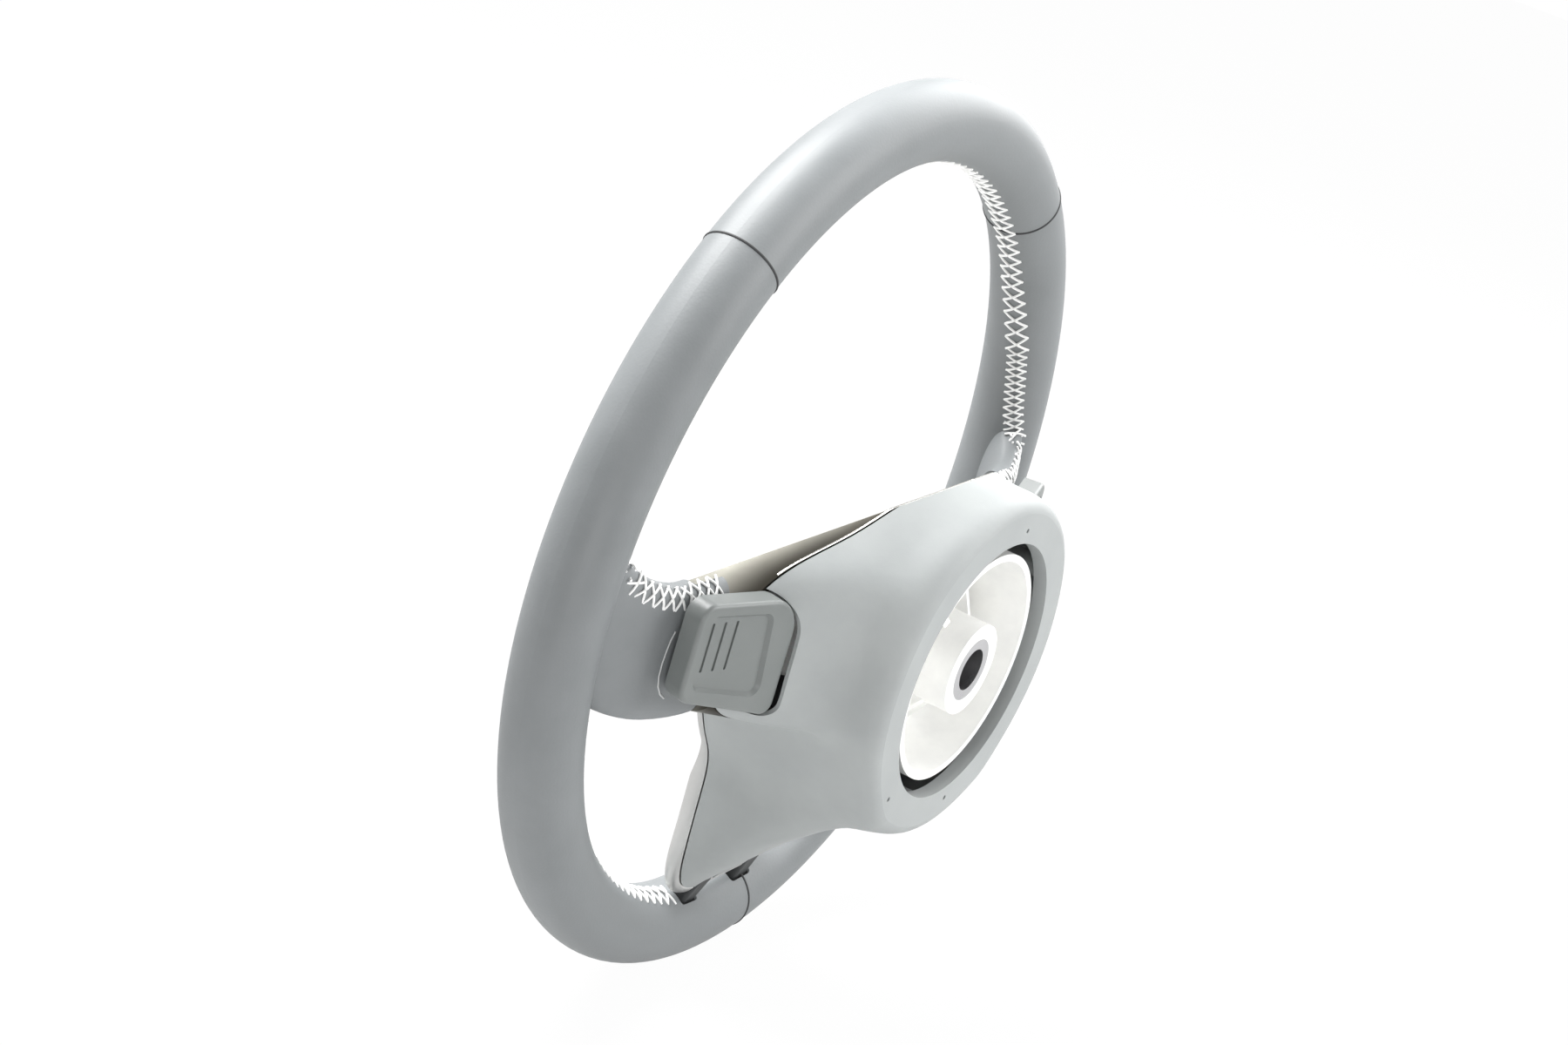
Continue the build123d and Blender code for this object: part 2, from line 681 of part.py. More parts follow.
save_pair("paddle", paddle_form())
save_pair("paddle_bracket", bracket_form())
save_pair("paddle_pin", upright(PIVOT_X, PIVOT_DEPTH, PIN_RADIUS, HINGE_LOW, HINGE_HIGH))
save_pair("paddle_switch", switch_form())


# The horn pad, which slides on the armature's bushes


def dome(inset):
    """Stretched ball whose front is the pad's crown, drawn in by an inset."""
    ball = scale(Sphere(DOME_RADIUS - inset), by=(DOME_STRETCH, 1, 1))
    return Pos(0, y_at(PAD_APEX + DOME_RADIUS), DOME_RISE) * ball


def pad_form():
    pad = pad_prism(0, 0, PAD_SKIRT) & dome(0)
    pad = fillet(pad.faces().sort_by(Axis.Y)[0].edges(), PAD_EDGE)
    return pad - (pad_prism(-PAD_WALL, 0, PAD_SKIRT) & dome(PAD_WALL))


def carrier_form():
    """Plate in the pad's skirt with three guide posts."""
    carrier = pad_prism(-PAD_WALL, CARRIER_FRONT, CARRIER_BACK)
    for angle in POST_ANGLES:
        post = on_circle(POST_CIRCLE, angle) * Circle(POST_RADIUS)
        carrier += prism(post, CARRIER_FRONT, POST_END)
    return carrier - prism(Circle(INFLATOR_RADIUS), CARRIER_FRONT, CARRIER_BACK)


def inflator_form():
    can = prism(Circle(INFLATOR_RADIUS), INFLATOR_FRONT, INFLATOR_BACK)
    flange = Circle(INFLATOR_RADIUS + INFLATOR_FLANGE)
    return can + prism(flange, CARRIER_FRONT - INFLATOR_FLANGE_THICKNESS, CARRIER_FRONT)


def cushion_form():
    """Folded cushion that fills the pad's crown ahead of the inflator."""
    inset = PAD_WALL + CUSHION_GAP
    return (pad_prism(-inset, 0, CARRIER_FRONT) & dome(inset)) - inflator_form()


def bush_form(angle):
    """Flanged bush in the hub plate for one guide post."""
    place = on_circle(POST_CIRCLE, angle)
    front = HUB_FRONT - BUSH_FLANGE
    bush = prism(place * Circle(BUSH_FLANGE_RADIUS), front, HUB_FRONT)
    bush += prism(place * Circle(BUSH_RADIUS), HUB_FRONT, PLATE_BACK)
    return bush - prism(place * Circle(POST_RADIUS + FIT), front, PLATE_BACK)


save("horn_pad", pad_form())
save("horn_carrier", carrier_form())
save("inflator", inflator_form())
save("airbag_cushion", cushion_form())
save("horn_bushes", Compound([bush_form(angle) for angle in POST_ANGLES]))


# The switch panels


def key_rise(number):
    """Height of a key, counted from the top one."""
    pitch = KEY_HEIGHT + KEY_SPACE
    return PANEL_RISE + ((KEY_COUNT - 1) / 2 - number) * pitch


def key_outline(x, rise, width, height, gap):
    return Pos(x, rise) * RectangleRounded(width + 2 * gap, height + 2 * gap, KEY_CORNER + gap)


def key_form(x, rise, width, height):
    key = prism(key_outline(x, rise, width, height, 0), KEY_FACE, KEY_BACK)
    return fillet(key.faces().sort_by(Axis.Y)[0].edges(), KEY_EDGE)


def trunnion(fit):
    """Round axle across the rocker, grown by a fit."""
    length = ROCKER_WIDTH + 2 * (TRUNNION + fit)
    axle = Rot(0, 90, 0) * Cylinder(TRUNNION_RADIUS + fit, length)
    return Pos(ROCKER_X, y_at(ROCKER_PIVOT), PANEL_RISE) * axle


def rocker_form():
    return key_form(ROCKER_X, PANEL_RISE, ROCKER_WIDTH, KEY_AREA_HEIGHT) + trunnion(0)


def panel_form():
    panel = prism(panel_outline(FIT), PANEL_FRONT, PANEL_BACK)
    wells = [key_outline(ROCKER_X, PANEL_RISE, ROCKER_WIDTH, KEY_AREA_HEIGHT, KEY_GAP)]
    for number in range(KEY_COUNT):
        wells.append(key_outline(KEY_X, key_rise(number), KEY_WIDTH, KEY_HEIGHT, KEY_GAP))
    for well in wells:
        panel -= prism(well, PANEL_FRONT, KEY_FLOOR)
    return panel - trunnion(TRUNNION_FIT)


save_pair("switch_panel", panel_form())
save_pair("rocker", rocker_form())
for number in range(KEY_COUNT):
    save_pair(f"key_{number + 1}", key_form(KEY_X, key_rise(number), KEY_WIDTH, KEY_HEIGHT))
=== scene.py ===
# %% [markdown]
# A leather steering wheel, seen from behind.
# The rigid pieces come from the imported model, which is loaded here as a fixed frame.
# This lesson adds the camera, the light, a finish for every piece and the hand-sewn cross stitches.

import json
import math

import bpy
from mathutils import Matrix, Vector
from mathutils.bvhtree import BVHTree


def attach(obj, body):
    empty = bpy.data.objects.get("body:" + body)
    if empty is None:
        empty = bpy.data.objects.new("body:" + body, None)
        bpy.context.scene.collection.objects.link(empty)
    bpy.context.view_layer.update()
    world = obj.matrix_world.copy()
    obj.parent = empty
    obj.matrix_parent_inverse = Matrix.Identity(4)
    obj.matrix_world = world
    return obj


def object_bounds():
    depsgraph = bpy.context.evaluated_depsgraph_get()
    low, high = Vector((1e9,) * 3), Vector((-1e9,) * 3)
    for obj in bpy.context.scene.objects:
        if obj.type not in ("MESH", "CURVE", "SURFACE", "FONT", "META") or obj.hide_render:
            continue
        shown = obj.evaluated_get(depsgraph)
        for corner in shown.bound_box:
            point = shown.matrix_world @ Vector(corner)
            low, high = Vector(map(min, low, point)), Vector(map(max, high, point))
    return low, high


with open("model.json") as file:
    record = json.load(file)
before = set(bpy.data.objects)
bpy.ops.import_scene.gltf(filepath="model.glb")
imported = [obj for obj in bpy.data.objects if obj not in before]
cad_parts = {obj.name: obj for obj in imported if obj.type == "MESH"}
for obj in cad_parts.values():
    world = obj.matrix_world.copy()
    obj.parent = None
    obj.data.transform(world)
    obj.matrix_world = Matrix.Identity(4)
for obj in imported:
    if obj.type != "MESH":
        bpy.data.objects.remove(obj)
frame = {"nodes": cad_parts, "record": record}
solid_low, solid_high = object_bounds()
print("solids span", [round(v, 3) for v in solid_high - solid_low], "m in", len(frame["nodes"]), "nodes")

# %% [markdown]
# The camera stands behind the wheel on the driver's right, a little above it.
# A photograph can be matched by turning the camera by hand, but here its three axes were worked out
# from the rim's ellipse, so they are written as the columns of a rotation matrix.
# The lens is long, so the far side of the rim is hardly smaller than the near side.

# %% camera
CAMERA_PLACE = Vector((1.289288, 0.519075, 0.522485))
CAMERA_RIGHT = Vector((-0.48889747, 0.82936699, 0.27042498))
CAMERA_DOWN = Vector((0.16841247, 0.393903, -0.90359154))
CAMERA_FORWARD = Vector((-0.8559302, -0.39622067, -0.33225392))
CAMERA_LENS = 87.26
SENSOR_WIDTH = 36.0
CLIP_NEAR, CLIP_FAR = 0.05, 50.0

camera_data = bpy.data.cameras.new("photo_camera")
camera_data.lens = CAMERA_LENS
camera_data.sensor_width = SENSOR_WIDTH
camera_data.sensor_fit = "HORIZONTAL"
camera_data.clip_start = CLIP_NEAR
camera_data.clip_end = CLIP_FAR
camera = bpy.data.objects.new("photo_camera", camera_data)
bpy.context.scene.collection.objects.link(camera)
turn = Matrix((CAMERA_RIGHT, -CAMERA_DOWN, -CAMERA_FORWARD)).transposed().to_4x4()
camera.matrix_world = Matrix.Translation(CAMERA_PLACE) @ turn
bpy.context.scene.camera = camera
print("camera", round(CAMERA_PLACE.length, 2), "m from the hub")

# %% [markdown]
# The photograph is a bright cut-out on white, with soft light from above and from the front.
# A world that is white only to the camera, to reflections and to glass gives the white ground,
# while a dimmer grey world fills the shadows.
# Wide lamps model the form: one above the driver's side, one high behind the wheel, one from the far side
# that draws bright edges on the leather, and one weak one from the side of the camera.

# %% world and lamps
scene = bpy.context.scene
scene.view_settings.view_transform = "Standard"

FILL_LEVEL = 0.42


def white_to_camera(tree, socket, low, high):
    """Set a socket high for camera, mirror and glass rays, and low for the rest."""
    path = tree.nodes.new("ShaderNodeLightPath")
    seen = path.outputs["Is Camera Ray"]
    for name in ("Is Glossy Ray", "Is Transmission Ray"):
        either = tree.nodes.new("ShaderNodeMath")
        either.operation = "MAXIMUM"
        tree.links.new(seen, either.inputs[0])
        tree.links.new(path.outputs[name], either.inputs[1])
        seen = either.outputs[0]
    level = tree.nodes.new("ShaderNodeMapRange")
    level.inputs["To Min"].default_value = low
    level.inputs["To Max"].default_value = high
    tree.links.new(seen, level.inputs["Value"])
    tree.links.new(level.outputs["Result"], socket)


world = bpy.data.worlds.new("white_studio")
scene.world = world
world.use_nodes = True
sky = world.node_tree.nodes["Background"]
sky.inputs["Color"].default_value = (1.0, 1.0, 1.0, 1.0)
white_to_camera(world.node_tree, sky.inputs["Strength"], FILL_LEVEL, 1.0)


def soft_lamp(name, place, aim, width, watts):
    """Square area lamp that points from one place to another."""
    data = bpy.data.lights.new(name, "AREA")
    data.shape = "SQUARE"
    data.size = width
    data.energy = watts
    lamp = bpy.data.objects.new(name, data)
    lamp.location = place
    lamp.rotation_euler = (Vector(aim) - Vector(place)).to_track_quat("-Z", "Y").to_euler()
    scene.collection.objects.link(lamp)
    return lamp


lamps = [
    soft_lamp("lamp_front", (0.05, -0.75, 1.25), (0.0, -0.05, 0.08), 1.0, 60.0),
    soft_lamp("lamp_behind", (-0.60, 1.35, 0.80), (0.0, 0.0, 0.0), 1.0, 24.0),
    soft_lamp("lamp_far", (-1.30, 0.00, 0.80), (0.0, -0.05, 0.10), 1.0, 20.0),
    soft_lamp("lamp_low", (1.2, 0.7, -0.05), (0.0, 0.0, -0.04), 0.5, 6.0),
]
print("lamps", [lamp.name for lamp in lamps])

# %% [markdown]
# The floor is a pale sheet just under the rim.
# A glow for the camera's and the mirrors' rays makes it almost pure white, with a trace of the shadow,
# while the light that it scatters onto the wheel stays plain.

# %% floor
FLOOR_SIZE = 6.0
FLOOR_DROP = 0.0005
FLOOR_GREY = (0.6, 0.6, 0.6, 1.0)
FLOOR_ROUGHNESS = 0.9
FLOOR_GLOW = 0.97


def floor_sheet():
    height = solid_low.z - FLOOR_DROP
    half = FLOOR_SIZE / 2
    corners = [(-half, -half, height), (half, -half, height), (half, half, height), (-half, half, height)]
    mesh = bpy.data.meshes.new("floor")
    mesh.from_pydata(corners, [], [(0, 1, 2, 3)])
    sheet = bpy.data.objects.new("floor", mesh)
    scene.collection.objects.link(sheet)
    paint = bpy.data.materials.new("floor_white")
    paint.use_nodes = True
    tree = paint.node_tree
    shader = tree.nodes["Principled BSDF"]
    shader.inputs["Base Color"].default_value = FLOOR_GREY
    shader.inputs["Roughness"].default_value = FLOOR_ROUGHNESS
    glow = tree.nodes.new("ShaderNodeEmission")
    mix = tree.nodes.new("ShaderNodeMixShader")
    white_to_camera(tree, mix.inputs["Fac"], 0.0, FLOOR_GLOW)
    tree.links.new(shader.outputs["BSDF"], mix.inputs[1])
    tree.links.new(glow.outputs["Emission"], mix.inputs[2])
    tree.links.new(mix.outputs["Shader"], tree.nodes["Material Output"].inputs["Surface"])
    mesh.materials.append(paint)
    return sheet


floor_sheet()
print("floor at", round(solid_low.z - FLOOR_DROP, 4))

# %% [markdown]
# Every finish on the wheel has a fine grain and a slow change of tone: the leather's pebble,
# the spark-eroded plastic, the cast metal.
# One node group makes both, from the piece's own coordinates in metres, so no unwrapping is needed.
# Its inputs set how many grains there are to the metre and how soft the grain is.

# %% grain group


def grain_group():
    group = bpy.data.node_groups.new("grain_and_tone", "ShaderNodeTree")
    face = group.interface
    for name, value in (("Grain", 1000.0), ("Tone", 30.0), ("Pebble", 0.5)):
        face.new_socket(name, in_out="INPUT", socket_type="NodeSocketFloat").default_value = value
    stretch_input = face.new_socket("Stretch", in_out="INPUT", socket_type="NodeSocketVector")
    stretch_input.default_value = (1.0, 1.0, 1.0)
    for name in ("Height", "Tone"):
        face.new_socket(name, in_out="OUTPUT", socket_type="NodeSocketFloat")
    nodes, links = group.nodes, group.links
    given = nodes.new("NodeGroupInput")
    result = nodes.new("NodeGroupOutput")
    place = nodes.new("ShaderNodeTexCoord")
    stretch = nodes.new("ShaderNodeVectorMath")
    stretch.operation = "MULTIPLY"
    links.new(place.outputs["Object"], stretch.inputs[0])
    links.new(given.outputs["Stretch"], stretch.inputs[1])
    cells = nodes.new("ShaderNodeTexVoronoi")
    cells.feature = "SMOOTH_F1"
    links.new(stretch.outputs["Vector"], cells.inputs["Vector"])
    links.new(given.outputs["Grain"], cells.inputs["Scale"])
    dust = nodes.new("ShaderNodeTexNoise")
    dust.inputs["Detail"].default_value = 3.0
    links.new(stretch.outputs["Vector"], dust.inputs["Vector"])
    links.new(given.outputs["Grain"], dust.inputs["Scale"])
    height = nodes.new("ShaderNodeMix")
    links.new(given.outputs["Pebble"], height.inputs["Factor"])
    links.new(dust.outputs["Fac"], height.inputs["A"])
    links.new(cells.outputs["Distance"], height.inputs["B"])
    links.new(height.outputs["Result"], result.inputs["Height"])
    slow = nodes.new("ShaderNodeTexNoise")
    slow.inputs["Detail"].default_value = 4.0
    slow.inputs["Roughness"].default_value = 0.6
    links.new(place.outputs["Object"], slow.inputs["Vector"])
    links.new(given.outputs["Tone"], slow.inputs["Scale"])
    spread = nodes.new("ShaderNodeMapRange")
    spread.inputs["From Min"].default_value = 0.3
    spread.inputs["From Max"].default_value = 0.7
    links.new(slow.outputs["Fac"], spread.inputs["Value"])
    links.new(spread.outputs["Result"], result.inputs["Tone"])
    return group


GRAIN = grain_group()
print("group", GRAIN.name, "with", len(GRAIN.nodes), "nodes")

# %% [markdown]
# A finish is a Principled shader whose colour and roughness drift between two values with the tone,
# and whose surface is roughened by the grain.
# What stays the same all over, such as the metal share or the specular level, is set on the shader itself,
# because other programs read it there.

# %% finish helper
GRAIN_DEPTH = 0.0003


def finish(name, dark, light, rough, grain, tone=30.0, pebble=0.5, bump=0.1, stretch=(1, 1, 1), fixed=()):
    """Material whose colour runs from dark to light and whose roughness spans a pair of values."""
    paint = bpy.data.materials.new(name)
    paint.use_nodes = True
    nodes, links = paint.node_tree.nodes, paint.node_tree.links
    shader = nodes["Principled BSDF"]
    surface = nodes.new("ShaderNodeGroup")
    surface.node_tree = GRAIN
    surface.inputs["Grain"].default_value = grain
    surface.inputs["Tone"].default_value = tone
    surface.inputs["Pebble"].default_value = pebble
    surface.inputs["Stretch"].default_value = stretch
    colour = nodes.new("ShaderNodeMix")
    colour.data_type = "RGBA"
    colour.inputs["A"].default_value = (*dark, 1.0)
    colour.inputs["B"].default_value = (*light, 1.0)
    links.new(surface.outputs["Tone"], colour.inputs["Factor"])
    links.new(colour.outputs["Result"], shader.inputs["Base Color"])
    gloss = nodes.new("ShaderNodeMapRange")
    gloss.inputs["To Min"].default_value = rough[0]
    gloss.inputs["To Max"].default_value = rough[1]
    links.new(surface.outputs["Tone"], gloss.inputs["Value"])
    links.new(gloss.outputs["Result"], shader.inputs["Roughness"])
    relief = nodes.new("ShaderNodeBump")
    relief.inputs["Strength"].default_value = bump
    relief.inputs["Distance"].default_value = GRAIN_DEPTH
    links.new(surface.outputs["Height"], relief.inputs["Height"])
    links.new(relief.outputs["Normal"], shader.inputs["Normal"])
    for socket, value in fixed:
        shader.inputs[socket].default_value = value
    return paint


print("a finish has a grain up to", GRAIN_DEPTH, "m deep")

# %% [markdown]
# The finishes are read off the photograph: grey satin leather with a hint of blue, a slightly lighter
# plastic cover, grey paddles, warm silver trim and bright cast metal deep inside the collar.
# The hidden front is darker, as such wheels are.
# One table holds them by material slot, so each piece finds its finish by its own slot.

# %% finishes
FINISHES = {
    "leather": finish("grip_leather", (0.162, 0.173, 0.177), (0.185, 0.196, 0.201), (0.46, 0.56), 1100.0,
                      pebble=0.7, bump=0.16),
    "foam": finish("grip_foam", (0.02, 0.02, 0.021), (0.03, 0.03, 0.031), (0.8, 0.9), 700.0),
    "steel": finish("turned_steel", (0.50, 0.50, 0.51), (0.62, 0.62, 0.63), (0.25, 0.38), 900.0,
                    stretch=(1, 8, 1), bump=0.05, fixed=(("Metallic", 1.0),)),
    "casting": finish("bright_casting", (0.84, 0.84, 0.83), (0.93, 0.93, 0.91), (0.40, 0.55), 500.0,
                      tone=60.0, bump=0.25, fixed=(("Metallic", 0.35),)),
    "cover_plastic": finish("cover_satin", (0.305, 0.321, 0.321), (0.341, 0.357, 0.355), (0.52, 0.60),
                            1600.0, pebble=0.3, bump=0.08, fixed=(("Specular IOR Level", 0.35),)),
    "trim_metal": finish("warm_silver", (0.46, 0.445, 0.39), (0.54, 0.525, 0.465), (0.38, 0.46), 2200.0,
                         stretch=(0.05, 1, 1), bump=0.03, fixed=(("Metallic", 1.0),)),
    "paddle_plastic": finish("paddle_satin", (0.145, 0.157, 0.153), (0.168, 0.180, 0.176), (0.36, 0.46),
                             1800.0, pebble=0.3, bump=0.06),
    "black_plastic": finish("black_satin", (0.012, 0.012, 0.013), (0.022, 0.022, 0.024), (0.40, 0.52),
                            1500.0),
    "key_plastic": finish("key_soft_touch", (0.03, 0.03, 0.033), (0.045, 0.045, 0.048), (0.45, 0.6), 1500.0),
    "pad_skin": finish("pad_skin", (0.13, 0.135, 0.142), (0.165, 0.17, 0.178), (0.5, 0.62), 800.0,
                       pebble=0.8, bump=0.3),
    "bush_rubber": finish("bush_rubber", (0.015, 0.015, 0.015), (0.025, 0.025, 0.025), (0.7, 0.85), 900.0),
    "cushion_fabric": finish("cushion_weave", (0.62, 0.62, 0.60), (0.72, 0.72, 0.70), (0.8, 0.95), 1400.0,
                             bump=0.4),
}
SLOT_OF = {part["node"]: part["material_slot"] for part in frame["record"]["subparts"]}
print(len(FINISHES), "finishes for", len(SLOT_OF), "nodes")

# %% [markdown]
# Two finishes carry painted shade that changes with the place.
# In the photograph the spoke trim darkens towards its parting, as a hollow does.
# The trim here is flat across, so that darkening is painted shade: its colour runs from warm silver in front
# to a deep brown at the parting.
# The casting's legs get painted shade where they go into the rim, for the shadow in the recess there.
# A second group measures a place along any direction, with left and right taken alike, and puts out
# how far it lies between two ends.

# %% finishes that change with the place
PARTING_PEAK = -0.0058
PARTING_SLOPE = 0.246
PARTING_SHADE = 0.014
PARTING_PAINTED_SHADE = (0.050, 0.046, 0.038)
LEG_DARK = -0.086
LEG_BRIGHT = -0.074
LEG_PAINTED_SHADE = (0.035, 0.037, 0.038)


def reach_group():
    group = bpy.data.node_groups.new("reach_between", "ShaderNodeTree")
    face = group.interface
    direction = face.new_socket("Direction", in_out="INPUT", socket_type="NodeSocketVector")
    direction.default_value = (0.0, 0.0, 1.0)
    for name, value in (("Start", 0.0), ("End", 1.0)):
        face.new_socket(name, in_out="INPUT", socket_type="NodeSocketFloat").default_value = value
    face.new_socket("Reach", in_out="OUTPUT", socket_type="NodeSocketFloat")
    nodes, links = group.nodes, group.links
    given = nodes.new("NodeGroupInput")
    result = nodes.new("NodeGroupOutput")
    place = nodes.new("ShaderNodeTexCoord")
    apart = nodes.new("ShaderNodeSeparateXYZ")
    links.new(place.outputs["Object"], apart.inputs["Vector"])
    alike = nodes.new("ShaderNodeMath")
    alike.operation = "ABSOLUTE"
    links.new(apart.outputs["X"], alike.inputs[0])
    joined = nodes.new("ShaderNodeCombineXYZ")
    links.new(alike.outputs[0], joined.inputs["X"])
    links.new(apart.outputs["Y"], joined.inputs["Y"])
    links.new(apart.outputs["Z"], joined.inputs["Z"])
    along = nodes.new("ShaderNodeVectorMath")
    along.operation = "DOT_PRODUCT"
    links.new(joined.outputs["Vector"], along.inputs[0])
    links.new(given.outputs["Direction"], along.inputs[1])
    share = nodes.new("ShaderNodeMapRange")
    share.interpolation_type = "SMOOTHSTEP"
    links.new(along.outputs["Value"], share.inputs["Value"])
    links.new(given.outputs["Start"], share.inputs["From Min"])
    links.new(given.outputs["End"], share.inputs["From Max"])
    links.new(share.outputs["Result"], result.inputs["Reach"])
    return group


REACH = reach_group()


def paint_shade(paint, dark, direction, start, end):
    """Paint shade onto a finish: it begins with a dark colour and reaches its own colour at the end."""
    nodes, links = paint.node_tree.nodes, paint.node_tree.links
    socket = nodes["Principled BSDF"].inputs["Base Color"]
    own_colour = socket.links[0].from_socket
    reach = nodes.new("ShaderNodeGroup")
    reach.node_tree = REACH
    reach.inputs["Direction"].default_value = direction
    reach.inputs["Start"].default_value = start
    reach.inputs["End"].default_value = end
    blend = nodes.new("ShaderNodeMix")
    blend.data_type = "RGBA"
    blend.inputs["A"].default_value = (*dark, 1.0)
    links.new(reach.outputs["Reach"], blend.inputs["Factor"])
    links.new(own_colour, blend.inputs["B"])
    links.new(blend.outputs["Result"], socket)


# Painted shade: the trim's colour darkens to deep brown towards its parting, in place of a hollow's dark
# reflection.
paint_shade(FINISHES["trim_metal"], PARTING_PAINTED_SHADE, (PARTING_SLOPE, 1.0, 0.0),
       PARTING_PEAK, PARTING_PEAK - PARTING_SHADE)
# Painted shade: the casting's legs turn dark towards the bottom, where they go into the rim's recess.
paint_shade(FINISHES["casting"], LEG_PAINTED_SHADE, (0.0, 0.0, 1.0), LEG_DARK, LEG_BRIGHT)
FINISH_OF = {node: FINISHES[slot] for node, slot in SLOT_OF.items()}
FINISH_OF["foot_trim"] = finish("foot_silver", (0.54, 0.54, 0.53), (0.62, 0.62, 0.61), (0.36, 0.46), 2200.0,
                                stretch=(1, 1, 0.05), bump=0.03, fixed=(("Metallic", 1.0),))
for node, solid in frame["nodes"].items():
    solid.data.materials.clear()
    solid.data.materials.append(FINISH_OF[node])
print("finished", len(FINISH_OF), "nodes")

# %% [markdown]
# The leather is closed along the rim's inner side by a hand-sewn row of crossed white threads.
# The row runs along the rim, bends at each spoke and goes on over the spoke's root.
# A lower row runs from each spoke towards the foot.
# Stitches set by hand would float or sink, so a fine line is drawn close to the leather first,
# and each of its places is moved to the nearest place on the leather itself.
# On the rim the line is given by angles from twelve o'clock and by tilts, in degrees.
# On a spoke root it is given by points from the photograph, which were carried to the leather.
# Each place keeps two arrows: the way the row runs, and the way out of the leather.

# %% where the stitches go
RIM_RADIUS = 0.172
GRIP_RADIUS = 0.0159
RIM_CENTRE = Vector((0.0, -0.070, 0.0225))
RIM_PITCH = 0.0064
BEND_PITCH = 0.0036
ROOT_PITCH = 0.0047
STEPS = 80
SMOOTHINGS = 400
LEATHER_NODES = ("leather_top", "leather_right", "leather_left")
UPPER_ROW = ((0, 2), (30, 2), (45, 4), (55, 6), (62, 13), (68, 21))
BEND_ROW = ((74, 26), (80, 33))
ROOT_ROW = ((0.1580, -0.0548, 0.0377), (0.1504, -0.0505, 0.0336), (0.1434, -0.0474, 0.0318),
            (0.1356, -0.0446, 0.0309), (0.1290, -0.0437, 0.0330), (0.1230, -0.0426, 0.0336),
            (0.1180, -0.0416, 0.0342), (0.1140, -0.0406, 0.0340))
LOWER_ROW = ((103, 30), (118, 20), (135, 14), (150, 15), (158, 17))
LOWER_END = {1: ((169, 20),), -1: ()}


def leather_surface():
    corners, faces = [], []
    for node in LEATHER_NODES:
        mesh = frame["nodes"][node].data
        start = len(corners)
        corners += [v.co.copy() for v in mesh.vertices]
        faces += [tuple(start + i for i in p.vertices) for p in mesh.polygons]
    return BVHTree.FromPolygons(corners, faces)


SKIN = leather_surface()


def rim_place(clock, tilt):
    """Place on the grip at an angle from twelve o'clock, tilted from the inner side to the column."""
    turn, lean = math.radians(clock), math.radians(tilt)
    out = Vector((math.sin(turn), 0.0, math.cos(turn)))
    across = RIM_RADIUS - GRIP_RADIUS * math.cos(lean)
    return RIM_CENTRE + out * across + Vector((0.0, GRIP_RADIUS * math.sin(lean), 0.0))


def between(keys):
    """Many even steps through a list of keys."""
    for first, last in zip(keys, keys[1:]):
        for step in range(STEPS):
            yield tuple(a + (b - a) * step / STEPS for a, b in zip(first, last))


def row_line(side, rim_keys, root_keys=()):
    """Fine line of places along the rim and then along a spoke root, with its corners smoothed."""
    line = [rim_place(clock, tilt) for clock, tilt in between(rim_keys)]
    if root_keys:
        corner = rim_place(*rim_keys[-1])
        line += [Vector(place) for place in between((corner[:], *root_keys))]
    for _ in range(SMOOTHINGS):
        line[1:-1] = [(a + b) / 2 for a, b in zip(line, line[2:])]
    return [Vector((side * place.x, place.y, place.z)) for place in line]


def even_row(line, pitch):
    """Places on the leather one pitch apart along a line, each with its two arrows."""
    hits = [SKIN.find_nearest(place)[:2] for place in line]
    row, walked = [], pitch / 2
    for (last, _), (here, outward), (later, _) in zip(hits, hits[1:], hits[2:]):
        walked += (here - last).length
        if walked >= pitch:
            walked -= pitch
            row.append((here, (later - last).normalized(), outward))
    return row


rim_places, bend_places, root_places = [], [], []
for side in (1, -1):
    upper = row_line(side, UPPER_ROW + BEND_ROW, ROOT_ROW)
    bend = STEPS * (len(UPPER_ROW) - 1)
    root = STEPS * (len(UPPER_ROW) + len(BEND_ROW))
    rim_places += even_row(upper[:bend], RIM_PITCH)
    rim_places += even_row(row_line(side, LOWER_ROW + LOWER_END[side]), RIM_PITCH)
    bend_places += even_row(upper[bend:root], BEND_PITCH)
    root_places += even_row(upper[root:], ROOT_PITCH)
print(len(rim_places), "stitches on the rim,", len(bend_places), "closer ones where the rows bend and",
      len(root_places), "on the spoke roots")

# %% [markdown]
# One stitch is two threads that cross and rise a little over the leather.
# Geometry Nodes draw the pair once, as two bent curves with a round section, and set it on every place
# with its length along the row and its crown along the way out.
# A bent curve rises only halfway to its middle point, so that point lies well above the crown.
# The sizes are inputs of the tree, so another thread or a wider row needs no new code.

# %% stitch tree
THREAD_SIDES = 6
THREAD_BENDS = 5


def end_tree(tree, shape, paint, result):
    """Close a tree with real faces, smooth shading and a material."""
    nodes, links = tree.nodes, tree.links
    real = nodes.new("GeometryNodeRealizeInstances")
    links.new(shape, real.inputs["Geometry"])
    smooth = nodes.new("GeometryNodeSetShadeSmooth")
    links.new(real.outputs["Geometry"], smooth.inputs["Geometry"])
    cover = nodes.new("GeometryNodeSetMaterial")
    links.new(smooth.outputs["Geometry"], cover.inputs["Geometry"])
    links.new(paint, cover.inputs["Material"])
    links.new(cover.outputs["Geometry"], result)


